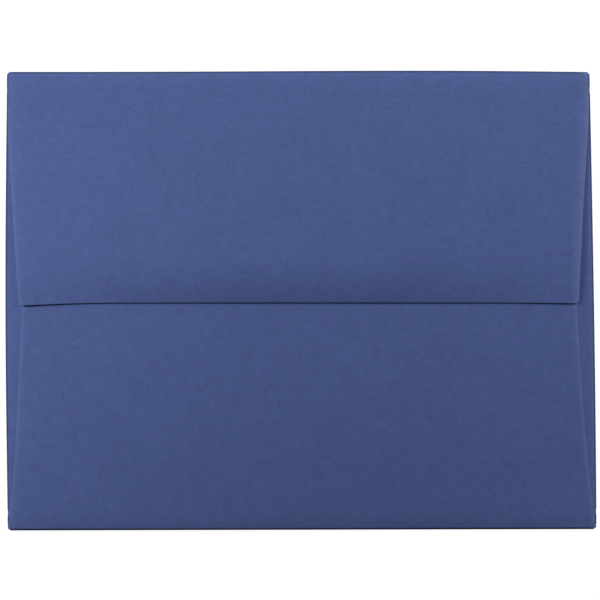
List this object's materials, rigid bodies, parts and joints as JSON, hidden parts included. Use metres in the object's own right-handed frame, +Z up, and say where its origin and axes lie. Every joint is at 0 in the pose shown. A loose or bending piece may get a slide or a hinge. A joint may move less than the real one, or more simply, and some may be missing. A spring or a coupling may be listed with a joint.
{
  "type": "paper envelope",
  "caption": "Closed rectangular paper envelope with a deep square flap, side seams and an open throat, lying on its front.",
  "frame": {"origin": "under the middle of the front panel, in the plane that the envelope lies on", "axes": "+Z up through the panels to the flap side, +Y towards the flap's crease, +X to the right as the flap side is seen"},
  "size_m": [0.146, 0.1136, 0.0055],
  "materials": {
    "blue_paper": "matte"
  },
  "bodies": {
    "root": {"envelope": "blue_paper"}
  },
  "joints": []
}
